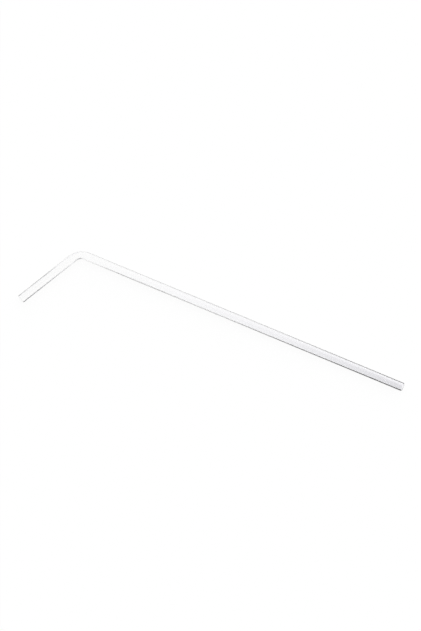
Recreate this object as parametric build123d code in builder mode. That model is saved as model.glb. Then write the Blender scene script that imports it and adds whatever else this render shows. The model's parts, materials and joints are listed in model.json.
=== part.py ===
from build123d import *
from math import cos, degrees, radians, sin, tan
import os

# Bent glass drinking straw, one length of clear tube, lying on its side.
# A straight long arm for the drink runs along +X, a flame-bent elbow turns it, and a short arm leads
# to the mouth. The outside wall of the elbow has sunk a little and drawn thin, as heated glass does,
# while the inside of the bend has gathered. Both rims are fire-polished to a full round.

# Tube stock
outer_diameter = 5.0
wall = 0.8

# Arms, each from its free end to the point where the two axes cross
long_arm = 203.0
mouth_arm = 43.0

# Elbow, along the tube's axis. Its outside has sunk deepest a little on the mouth's side of the middle
bend_angle = 60.8
bend_radius = 6.65
sunk_depth = 0.55
sunk_lean = 0.7
sunk_taper = 1.5
sunk_run_out = 2.0
drawn_wall = 0.1

# Width of the crest left between the two roundings of a rim
rim_crest = 0.04

# Sections that carry the elbow from one straight arm to the other
elbow_stations = 13

outer_radius = outer_diameter / 2
bore_radius = outer_radius - wall
rim_round = (wall - rim_crest) / 2

# Lengths along the axis, counted from the middle of the bend, towards the mouth
half_turn = bend_angle / 2
half_arc = radians(half_turn) * bend_radius
corner_to_arc = bend_radius * tan(radians(half_turn))
sunk_reach = half_arc + sunk_run_out
elbow_start = sunk_lean - sunk_reach
elbow_end = sunk_lean + sunk_reach
long_end = half_arc - corner_to_arc + long_arm
mouth_end = half_arc - corner_to_arc + mouth_arm

# The middle of the footprint is the origin: the mouth's rim reaches furthest along -X and -Y
turn_cos = cos(radians(bend_angle))
turn_sin = sin(radians(bend_angle))
rim_circle = outer_radius - rim_round
reach_left = mouth_arm * turn_cos + rim_round * (1 - turn_cos) + rim_circle * turn_sin
reach_front = mouth_arm * turn_sin + rim_round * (1 - turn_sin) + rim_circle * turn_cos
corner = Vector((reach_left - long_arm) / 2, (reach_front - outer_radius) / 2, outer_radius)


def heading(angle):
    """Level direction at an angle from +X."""
    return Vector(cos(radians(angle)), sin(radians(angle)), 0)


bend_centre = corner - heading(90 + half_turn) * (bend_radius / cos(radians(half_turn)))


def axis_plane(travel):
    """Plane square to the axis, with X up, Y out of the bend and Z along the tube to the mouth."""
    turn = max(-half_turn, min(half_turn, degrees(travel / bend_radius)))
    outward = heading(90 + half_turn + turn)
    along = heading(180 + half_turn + turn)
    straight = travel - radians(turn) * bend_radius
    return Plane(bend_centre + outward * bend_radius + along * straight, x_dir=(0, 0, 1), z_dir=along)


def sunk_share(travel):
    """How much of the sinking shows at a station: all where it is deepest, none where the arms begin."""
    return max(0, 1 - ((travel - sunk_lean) / sunk_reach) ** 2) ** sunk_taper


# Skins of the tube: its outside, then its bore, which leaves the wall thin outside the bend
skins = ((outer_radius, 0, Mode.ADD), (bore_radius, drawn_wall, Mode.SUBTRACT))

with BuildPart() as glass_straw:
    for radius, drift, mode in skins:
        # Long arm
        with BuildSketch(axis_plane(-long_end)):
            Circle(radius)
        extrude(amount=long_end + elbow_start, mode=mode)

        # Elbow, flatter and nearer the bend's centre where its outside has sunk
        for step in range(elbow_stations):
            travel = elbow_start + (elbow_end - elbow_start) * step / (elbow_stations - 1)
            share = sunk_share(travel)
            half_sink = sunk_depth * share / 2
            with BuildSketch(axis_plane(travel)):
                with Locations((0, drift * share - half_sink)):
                    Ellipse(radius, radius - half_sink)
        loft(mode=mode)

        # Mouth arm
        with BuildSketch(axis_plane(elbow_end)):
            Circle(radius)
        extrude(amount=mouth_end - elbow_end, mode=mode)

    # Fire-polished rims
    rims = glass_straw.faces().filter_by(GeomType.PLANE)
    fillet(rims.edges(), radius=rim_round)

glass_straw.part.label = "glass_straw"

os.makedirs("parts", exist_ok=True)
export_step(glass_straw.part, "parts/glass_straw.step")
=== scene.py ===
"""Bent glass straw lying on a white table, seen from straight above."""

import json
from math import atan2, cos, pi, radians, sin, tan

import bmesh
import bpy
from mathutils import Matrix, Vector
from mathutils.geometry import intersect_line_line


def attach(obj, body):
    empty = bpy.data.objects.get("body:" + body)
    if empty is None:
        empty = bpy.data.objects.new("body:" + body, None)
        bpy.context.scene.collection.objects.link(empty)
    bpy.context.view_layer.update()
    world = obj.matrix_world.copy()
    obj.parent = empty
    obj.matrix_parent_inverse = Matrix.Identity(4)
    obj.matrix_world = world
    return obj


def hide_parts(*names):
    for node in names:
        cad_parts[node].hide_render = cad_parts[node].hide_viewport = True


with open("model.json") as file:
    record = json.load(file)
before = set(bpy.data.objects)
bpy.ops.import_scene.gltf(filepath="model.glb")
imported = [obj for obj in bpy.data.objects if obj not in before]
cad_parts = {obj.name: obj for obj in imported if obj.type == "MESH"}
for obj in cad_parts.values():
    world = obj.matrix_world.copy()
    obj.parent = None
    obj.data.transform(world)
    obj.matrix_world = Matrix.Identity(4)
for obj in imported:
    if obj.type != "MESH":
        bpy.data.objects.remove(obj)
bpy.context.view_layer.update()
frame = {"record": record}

# Sizes in metres. The tube's radii and the lines of its two arms come from the record's mounts.
mounts = {mount["name"]: mount for mount in frame["record"]["mounts"]}
outer_radius = mounts["long_arm"]["dims"]["r_mm"] / 1000
bore_radius = mounts["drink_bore"]["dims"]["r_mm"] / 1000
long_straight = mounts["long_arm"]["dims"]["length_mm"] / 1000
mouth_straight = mounts["mouth_arm"]["dims"]["length_mm"] / 1000
long_middle = Vector(mounts["long_arm"]["pos_m"])
long_heading = Vector(mounts["long_arm"]["axis"])
mouth_middle = Vector(mounts["mouth_arm"]["pos_m"])
mouth_heading = Vector(mounts["mouth_arm"]["axis"])

# Elbow and rims
bend_radius = 0.00665
sunk_depth = 0.00055
sunk_taper = 1.5
drawn_wall = 0.0001
rim_crest = 0.00004

# Fineness of the mesh
tube_sides = 128
rim_steps = 8
elbow_steps = 48
long_steps = 40
mouth_steps = 12
close_ring = 0.0002

# Lengths along the tube's axis, counted from the middle of the bend, towards the mouth
rim_round = (outer_radius - bore_radius - rim_crest) / 2
half_turn = (pi - long_heading.angle(mouth_heading)) / 2
corner = intersect_line_line(
    long_middle, long_middle + long_heading, mouth_middle, mouth_middle + mouth_heading
)[0]
half_arc = half_turn * bend_radius
corner_to_arc = bend_radius * tan(half_turn)
long_run = (long_middle - corner).length + long_straight / 2
mouth_run = (mouth_middle - corner).length + mouth_straight / 2
long_end = half_arc - corner_to_arc + long_run + rim_round
mouth_end = half_arc - corner_to_arc + mouth_run + rim_round
long_rim_start = rim_round - long_end
mouth_rim_start = mouth_end - rim_round
elbow_start = rim_round + long_straight - long_end
elbow_end = mouth_end - mouth_straight - rim_round
sunk_middle = (elbow_start + elbow_end) / 2
sunk_reach = (elbow_end - elbow_start) / 2

# Camera: the photograph's frame, and where the tube lies in it
photo_width = 421
photo_height = 631
corner_pixel = Vector((79.19, 253.06))
long_end_pixel = Vector((402.6, 387.0))
lens = 50.0
sensor = 36.0
near_clip = 0.01
far_clip = 100

# Glass: how strongly it refracts, its colour at the elbow and mouth, its colour at the drink's end, darker
# there as painted shade and with a faint blue tint, and what its drawn streaks let through
glass_ior = 1.474
clear = (0.997, 0.997, 0.997)
shaded_clear_at_drink = (0.969, 0.966, 0.984)
streak = 0.975

# Where the bore is met from within the wall too aslant to look into, its edge gets painted shade, standing
# in for dark surroundings seen through the glass there. How aslant that begins and is full, and how little
# of it turns the bore's own colour black.
edge_begin = 0.27
edge_full = 0.53
edge_black = 0.1

# How dark the painted shade on the bore's edge is at places along the tube, on the side inside the bend and
# outside it: painted shade that deepens towards the drink's end and on the side inside the bend, the side
# turned from the soft light. Past 1 the edge gets no darker, only wider.
painted_edge_shade_inside = (
    (-long_end, 7.0),
    (-0.175, 1.7),
    (-0.150, 0.88),
    (-0.090, 0.31),
    (-0.024, 0.34),
    (-0.011, 0.12),
    (-0.003, 0.08),
    (0.0002, 0.42),
    (0.006, 0.11),
    (mouth_end, 0.63),
)
painted_edge_shade_outside = (
    (-long_end, 0.55),
    (-0.117, 0.215),
    (-0.030, 0.12),
    (0.012, 0.05),
    (0.024, 0.355),
    (0.037, 0.17),
    (mouth_end, 0.38),
)

# How dark the painted shade on the edge of the outside is: only on the two rims
painted_rim_shade = (
    (-long_end, 0.7),
    (long_rim_start, 0.7),
    (long_rim_start + close_ring, 0),
    (mouth_rim_start - close_ring, 0),
    (mouth_rim_start, 0.35),
    (mouth_end, 0.35),
)

# With this blend, Facing is one less the cosine of the slant, and the light let through an edge falls
# with this power
facing_blend = 0.5
edge_power = 2

# Faint lines along the glass from the drawing of the tube: their width, length, height and gloss, the
# detail of the noise they come from, and where in it a streak begins and is full
draw_line_width = 0.0012
draw_line_length = 0.12
draw_line_height = 0.000004
draw_line_detail = 2.0
streak_begin = 0.4
streak_full = 0.65
gloss_finest = 0.0
gloss_dullest = 0.012

# Table: its size and colour, how far it is washed to white in view and in the glass, and how late along the
# long arm that fades. In the glass the wash is painted light: a glow, strongest at the elbow and fading
# towards the drink's end, that hides the straw's shadow like a pool of light.
table_size = 12.0
table_white = (0.95, 0.95, 0.95)
washed_in_view = 0.95
painted_glow_at_elbow = 0.985
painted_glow_at_drink = 0.69
painted_glow_fade = 2.4

# Sky and light
sky_at_horizon = 1.0
sky_overhead = 0.97
sky_height = 0.7
fill_level = 0.12
soft_light_tilt = radians(55)
soft_light_turn = radians(95)
soft_light_spread = radians(75)
soft_light_level = 2.7


def heading(angle):
    """Level direction at an angle from +X."""
    return Vector((cos(angle), sin(angle), 0))


bend_centre = corner - heading(pi / 2 + half_turn) * (bend_radius / cos(half_turn))


def axis_turn(travel):
    """How far the axis has turned at a place along the tube, none at the middle of the bend."""
    return max(-half_turn, min(half_turn, travel / bend_radius))


def outward(travel):
    """Level direction away from the inside of the bend, square to the axis."""
    return heading(pi / 2 + half_turn + axis_turn(travel))


def axis_point(travel):
    """Place on the tube's axis."""
    turn = axis_turn(travel)
    along = heading(pi + half_turn + turn)
    return bend_centre + outward(travel) * bend_radius + along * (travel - turn * bend_radius)


def sunk_share(travel):
    """How much of the elbow's sinking shows: all where it is deepest, none on the arms."""
    return max(0, 1 - ((travel - sunk_middle) / sunk_reach) ** 2) ** sunk_taper


def even_steps(start, end, count):
    """Evenly spaced places after start, up to and with end."""
    return [start + (end - start) * step / count for step in range(1, count + 1)]


def skin_rings():
    """Rings of the whole skin as pairs of travel and radius: outside to the mouth, bore back again."""
    quarter = [pi / 2 * step / rim_steps for step in range(rim_steps + 1)]
    rim = [(rim_round * sin(angle), rim_round * cos(angle)) for angle in reversed(quarter)]
    arms = [long_rim_start + close_ring]
    arms += even_steps(long_rim_start + close_ring, elbow_start - close_ring, long_steps)
    arms += [elbow_start]
    arms += even_steps(elbow_start, elbow_end, elbow_steps)
    arms += [elbow_end + close_ring]
    arms += even_steps(elbow_end + close_ring, mouth_rim_start - close_ring, mouth_steps)
    arms += [mouth_rim_start]
    outer_edge = outer_radius - rim_round
    inner_edge = bore_radius + rim_round
    outside = [(long_rim_start - out, outer_edge + side) for out, side in rim]
    outside += [(travel, outer_radius) for travel in arms]
    outside += [(mouth_rim_start + out, outer_edge + side) for out, side in reversed(rim[:-1])]
    inside = [(mouth_rim_start + out, inner_edge - side) for out, side in rim]
    inside += [(travel, bore_radius) for travel in reversed(arms[:-1])]
    inside += [(long_rim_start, bore_radius)]
    inside += [(long_rim_start - out, inner_edge - side) for out, side in reversed(rim[:-1])]
    return outside, inside


def pick_rings(piece, *numbers):
    """Select some rings of the skin and nothing else."""
    bpy.ops.mesh.select_all(action="DESELECT")
    mesh = bmesh.from_edit_mesh(piece.data)
    mesh.verts.ensure_lookup_table()
    for number in numbers:
        for place in range(number * tube_sides, (number + 1) * tube_sides):
            mesh.verts[place].select = True
    mesh.select_flush(True)


def sink_ring(piece, number, travel, radius, drift):
    """Press one ring of the elbow flatter, its side inside the bend held, and let the bore drift out."""
    share = sunk_share(travel)
    pick_rings(piece, number)
    out = outward(travel)
    level = Matrix((out, Vector((0, 0, 1)).cross(out), Vector((0, 0, 1)))).transposed()
    bpy.ops.transform.resize(
        value=(1 - sunk_depth * share / 2 / radius, 1, 1),
        orient_type="GLOBAL",
        orient_matrix=level,
        orient_matrix_type="GLOBAL",
        center_override=axis_point(travel) - out * radius,
    )
    if drift:
        bpy.ops.transform.translate(value=out * drift * share)


def make_straw():
    """Draw the tube's skin ring by ring, out along the outside and back down the bore."""
    outside, inside = skin_rings()
    rings = outside + inside
    travel, radius = rings[0]
    bpy.ops.object.select_all(action="DESELECT")
    bpy.ops.mesh.primitive_circle_add(
        vertices=tube_sides, radius=radius, location=axis_point(travel), rotation=(0, pi / 2, 0)
    )
    piece = bpy.context.object
    piece.name = "drawn_glass_straw"
    bpy.ops.object.transform_apply(location=True, rotation=True, scale=True)

    bpy.ops.object.mode_set(mode="EDIT")
    bpy.ops.mesh.select_all(action="SELECT")
    for next_travel, next_radius in rings[1:]:
        centre = axis_point(next_travel)
        bpy.ops.mesh.extrude_edges_move(
            TRANSFORM_OT_translate={"value": centre - axis_point(travel)}
        )
        turn = axis_turn(next_travel) - axis_turn(travel)
        if turn:
            bpy.ops.transform.rotate(value=-turn, orient_axis="Z", center_override=centre)
        if next_radius != radius:
            share = next_radius / radius
            bpy.ops.transform.resize(value=(share, share, share), center_override=centre)
        travel, radius = next_travel, next_radius

    for number, (travel, radius) in enumerate(rings):
        if sunk_share(travel):
            drift = 0 if number < len(outside) else drawn_wall
            sink_ring(piece, number, travel, radius, drift)

    # The crest of the long arm's rim closes the skin
    pick_rings(piece, 0, len(rings) - 1)
    bpy.ops.mesh.bridge_edge_loops()
    bpy.ops.mesh.select_all(action="SELECT")
    bpy.ops.mesh.normals_make_consistent(inside=False)
    bpy.ops.object.mode_set(mode="OBJECT")
    bpy.ops.object.shade_smooth()
    mark_straight_places(piece, rings)
    dress_skins(piece, len(outside))
    return piece


def mark_straight_places(piece, rings):
    """Keep where each point of the skin lay before the tube was bent: out of the bend, up, and along."""
    places = []
    for number, (travel, _) in enumerate(rings):
        for point in piece.data.vertices[number * tube_sides:(number + 1) * tube_sides]:
            across = point.co - axis_point(travel)
            places += [across.dot(outward(travel)), across.z, travel]
    mark = piece.data.attributes.new("straight_place", "FLOAT_VECTOR", "POINT")
    mark.data.foreach_set("vector", places)


def dress_skins(piece, outside_rings):
    """Give the outside and the bore their glass."""
    piece.data.materials.append(outside_glass())
    piece.data.materials.append(bore_glass())
    for face in piece.data.polygons:
        inmost = min(face.vertices) // tube_sides
        face.material_index = 1 if inmost >= outside_rings else 0


def math_node(tree, operation, first, second):
    """One operation on two numbers, each a socket or a plain value."""
    node = tree.nodes.new("ShaderNodeMath")
    node.operation = operation
    for socket, value in zip(node.inputs, (first, second)):
        if isinstance(value, bpy.types.NodeSocket):
            tree.links.new(value, socket)
        else:
            socket.default_value = value
    return node.outputs[0]


def spread(tree, value, low, high, low_share, high_share, smooth=False):
    """Turn a value between low and high into a share, held at both ends."""
    node = tree.nodes.new("ShaderNodeMapRange")
    node.interpolation_type = "SMOOTHSTEP" if smooth else "LINEAR"
    tree.links.new(value, node.inputs["Value"])
    node.inputs["From Min"].default_value = low
    node.inputs["From Max"].default_value = high
    node.inputs["To Min"].default_value = low_share
    node.inputs["To Max"].default_value = high_share
    return node.outputs["Result"]


def mix_colours(tree, share, first, second):
    """A colour between two, each a socket or a plain colour."""
    node = tree.nodes.new("ShaderNodeMix")
    node.data_type = "RGBA"
    tree.links.new(share, node.inputs["Factor"])
    colours = [socket for socket in node.inputs if socket.type == "RGBA"]
    for socket, colour in zip(colours, (first, second)):
        if isinstance(colour, bpy.types.NodeSocket):
            tree.links.new(colour, socket)
        else:
            socket.default_value = (*colour, 1)
    return next(socket for socket in node.outputs if socket.type == "RGBA")


def draw_lines(tree, place, shader):
    """Faint lines along the tube, in the height of the glass and its gloss; where they lie is given back."""
    stretch = tree.nodes.new("ShaderNodeMapping")
    stretch.inputs["Scale"].default_value = (1 / draw_line_width, 1 / draw_line_width, 1 / draw_line_length)
    tree.links.new(place, stretch.inputs["Vector"])
    lines = tree.nodes.new("ShaderNodeTexNoise")
    lines.inputs["Scale"].default_value = 1.0
    lines.inputs["Detail"].default_value = draw_line_detail
    tree.links.new(stretch.outputs["Vector"], lines.inputs["Vector"])
    relief = tree.nodes.new("ShaderNodeBump")
    relief.inputs["Distance"].default_value = draw_line_height
    tree.links.new(lines.outputs["Fac"], relief.inputs["Height"])
    tree.links.new(relief.outputs["Normal"], shader.inputs["Normal"])
    drawn = spread(tree, lines.outputs["Fac"], streak_begin, streak_full, 0, 1, True)
    tree.links.new(spread(tree, drawn, 0, 1, gloss_finest, gloss_dullest), shader.inputs["Roughness"])
    return drawn


def drawn_glass(name):
    """Clear glass with the faint lines it was drawn with, and painted shade darkening it towards the drink's
    end: its material, place along the tube and colour.
    """
    material = bpy.data.materials.new(name)
    material.use_nodes = True
    tree = material.node_tree
    shader = tree.nodes["Principled BSDF"]
    shader.inputs["IOR"].default_value = glass_ior
    shader.inputs["Transmission Weight"].default_value = 1.0

    straight = tree.nodes.new("ShaderNodeAttribute")
    straight.attribute_name = "straight_place"
    place = tree.nodes.new("ShaderNodeSeparateXYZ")
    tree.links.new(straight.outputs["Vector"], place.inputs[0])
    drawn = draw_lines(tree, straight.outputs["Vector"], shader)
    # Painted shade: the glass's colour darkens towards the drink's end
    painted_shade_toward_drink = spread(tree, place.outputs["Z"], -long_end, 0, 1, 0)
    even = mix_colours(tree, painted_shade_toward_drink, clear, shaded_clear_at_drink)
    streaked = mix_colours(
        tree, painted_shade_toward_drink, [part * streak for part in clear], [part * streak for part in shaded_clear_at_drink]
    )
    return material, place, mix_colours(tree, drawn, even, streaked)


def edge_shade(tree, along, shades):
    """How dark the painted edge shade is at a place along the tube."""
    place = spread(tree, along, -long_end, mouth_end, 0, 1)
    ramp = tree.nodes.new("ShaderNodeValToRGB")
    stops = ramp.color_ramp.elements
    while len(stops) < len(shades):
        stops.new(1.0)
    for stop, (travel, shade) in zip(stops, shades):
        stop.position = (travel + long_end) / (mouth_end + long_end)
        stop.color = (shade, shade, shade, 1)
    tree.links.new(place, ramp.inputs["Fac"])
    return ramp.outputs["Color"]


def seen_edge_on(tree):
    """Where the skin is seen edge on: none face on, full where it is most aslant."""
    slant = tree.nodes.new("ShaderNodeLayerWeight")
    slant.inputs["Blend"].default_value = facing_blend
    return spread(tree, slant.outputs["Facing"], edge_begin, edge_full, 0, 1, True)


def light_past(tree, edge, shade):
    """What painted edge shade of some darkness lets through."""
    taken = spread(tree, math_node(tree, "MULTIPLY", edge, shade), 0, 1, 0, 1)
    return math_node(tree, "POWER", math_node(tree, "SUBTRACT", 1.0, taken), edge_power)


def outside_glass():
    """Glass of the outside, with painted shade where its rims are seen edge on."""
    material, place, colour = drawn_glass("clear_glass_outside")
    tree = material.node_tree
    # Painted shade on the rims where they are seen edge on
    shade = edge_shade(tree, place.outputs["Z"], painted_rim_shade)
    passed = light_past(tree, seen_edge_on(tree), shade)
    darkened = mix_colours(tree, passed, (0, 0, 0), colour)
    tree.links.new(darkened, tree.nodes["Principled BSDF"].inputs["Base Color"])
    return material


def bore_glass():
    """Glass of the bore, with painted shade where it is met from within the wall too aslant to look into."""
    material, place, colour = drawn_glass("clear_glass_bore")
    tree = material.node_tree
    shader = tree.nodes["Principled BSDF"]
    # Painted shade on the bore's edge, deeper on the side inside the bend and towards the drink's end
    side = tree.nodes.new("ShaderNodeMix")
    tree.links.new(spread(tree, place.outputs["X"], -bore_radius, bore_radius, 0, 1), side.inputs["Factor"])
    tree.links.new(edge_shade(tree, place.outputs["Z"], painted_edge_shade_inside), side.inputs["A"])
    tree.links.new(edge_shade(tree, place.outputs["Z"], painted_edge_shade_outside), side.inputs["B"])
    within = tree.nodes.new("ShaderNodeNewGeometry")
    edge = math_node(tree, "MULTIPLY", seen_edge_on(tree), within.outputs["Backfacing"])
    passed = light_past(tree, edge, side.outputs["Result"])
    tree.links.new(passed, shader.inputs["Transmission Weight"])
    black = spread(tree, edge, 0, edge_black, 0, 1)
    tree.links.new(mix_colours(tree, black, colour, (0, 0, 0)), shader.inputs["Base Color"])
    return material


def white_table():
    """Matt white table top, which shows as white and keeps some of the straw's shadow; in the glass a
    painted glow, strongest at the elbow, washes that shadow out like a pool of light.
    """
    material = bpy.data.materials.new("white_table")
    material.use_nodes = True
    tree = material.node_tree
    matt = tree.nodes["Principled BSDF"]
    matt.inputs["Base Color"].default_value = (*table_white, 1)
    matt.inputs["Roughness"].default_value = 1.0
    matt.inputs["Specular IOR Level"].default_value = 0.0
    glow = tree.nodes.new("ShaderNodeEmission")
    glow.inputs["Color"].default_value = (1, 1, 1, 1)
    glow.inputs["Strength"].default_value = 1.0
    path = tree.nodes.new("ShaderNodeLightPath")
    place = tree.nodes.new("ShaderNodeTexCoord")
    split = tree.nodes.new("ShaderNodeSeparateXYZ")
    tree.links.new(place.outputs["Object"], split.inputs[0])
    # Painted light: in the glass the table glows more near the elbow, fading towards the drink's end
    toward_end = spread(tree, split.outputs["X"], corner.x, corner.x + long_run, 0, 1)
    toward_end = math_node(tree, "POWER", toward_end, painted_glow_fade)
    washed = spread(tree, toward_end, 0, 1, painted_glow_at_elbow, painted_glow_at_drink)
    in_glass = math_node(tree, "MAXIMUM", path.outputs["Is Glossy Ray"], path.outputs["Is Transmission Ray"])
    in_glass = math_node(tree, "MULTIPLY", in_glass, washed)
    in_view = math_node(tree, "MULTIPLY", path.outputs["Is Camera Ray"], washed_in_view)
    mix = tree.nodes.new("ShaderNodeMixShader")
    tree.links.new(math_node(tree, "ADD", in_view, in_glass), mix.inputs["Fac"])
    tree.links.new(matt.outputs["BSDF"], mix.inputs[1])
    tree.links.new(glow.outputs["Emission"], mix.inputs[2])
    tree.links.new(mix.outputs["Shader"], tree.nodes["Material Output"].inputs["Surface"])
    return material


def make_table():
    """Flat table top that the straw lies on."""
    bpy.ops.object.select_all(action="DESELECT")
    bpy.ops.mesh.primitive_plane_add(size=table_size, location=(0, 0, 0))
    table = bpy.context.object
    table.name = "table_top"
    table.data.materials.append(white_table())


def make_sky():
    """Pale all round, dimmer overhead, with one soft light high on the far side of the long arm."""
    world = bpy.data.worlds.new("studio")
    bpy.context.scene.world = world
    world.use_nodes = True
    tree = world.node_tree
    place = tree.nodes.new("ShaderNodeTexCoord")
    split = tree.nodes.new("ShaderNodeSeparateXYZ")
    tree.links.new(place.outputs["Generated"], split.inputs[0])
    pale = spread(tree, split.outputs["Z"], 0, sky_height, sky_at_horizon, sky_overhead, True)
    toward = tree.nodes.new("ShaderNodeVectorMath")
    toward.operation = "DOT_PRODUCT"
    toward.inputs[1].default_value = (
        sin(soft_light_tilt) * heading(soft_light_turn) + Vector((0, 0, cos(soft_light_tilt)))
    )
    tree.links.new(place.outputs["Generated"], toward.inputs[0])
    light = spread(tree, toward.outputs["Value"], cos(soft_light_spread), 1, 0, soft_light_level, True)
    path = tree.nodes.new("ShaderNodeLightPath")
    seen = math_node(tree, "MAXIMUM", path.outputs["Is Camera Ray"], path.outputs["Is Glossy Ray"])
    seen = math_node(tree, "MAXIMUM", seen, path.outputs["Is Transmission Ray"])
    light = math_node(tree, "ADD", light, fill_level)
    level = tree.nodes.new("ShaderNodeMix")
    tree.links.new(seen, level.inputs["Factor"])
    tree.links.new(light, level.inputs["A"])
    tree.links.new(pale, level.inputs["B"])
    tree.links.new(level.outputs["Result"], tree.nodes["Background"].inputs["Strength"])
    tree.nodes["Background"].inputs["Color"].default_value = (1, 1, 1, 1)


def make_camera():
    """Straight down, turned so that the two ends of the long arm's axis fall on their pixels."""
    run = long_end_pixel - corner_pixel
    metres_per_pixel = (long_run + rim_round) / run.length
    roll = atan2(run.y, run.x)
    height = metres_per_pixel * photo_height * lens / sensor
    across = (corner_pixel.x - photo_width / 2) * metres_per_pixel
    up = (photo_height / 2 - corner_pixel.y) * metres_per_pixel
    right_way = heading(roll)
    up_way = heading(pi / 2 + roll)
    bpy.ops.object.camera_add(
        location=corner - right_way * across - up_way * up + Vector((0, 0, height)),
        rotation=(0, 0, roll),
    )
    camera = bpy.context.object
    camera.data.lens = lens
    camera.data.sensor_width = sensor
    camera.data.clip_start = near_clip
    camera.data.clip_end = far_clip
    bpy.context.scene.camera = camera


straw = make_straw()
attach(straw, "root")
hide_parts("glass_straw")

make_table()
make_sky()
make_camera()
bpy.context.scene.view_settings.view_transform = "Standard"
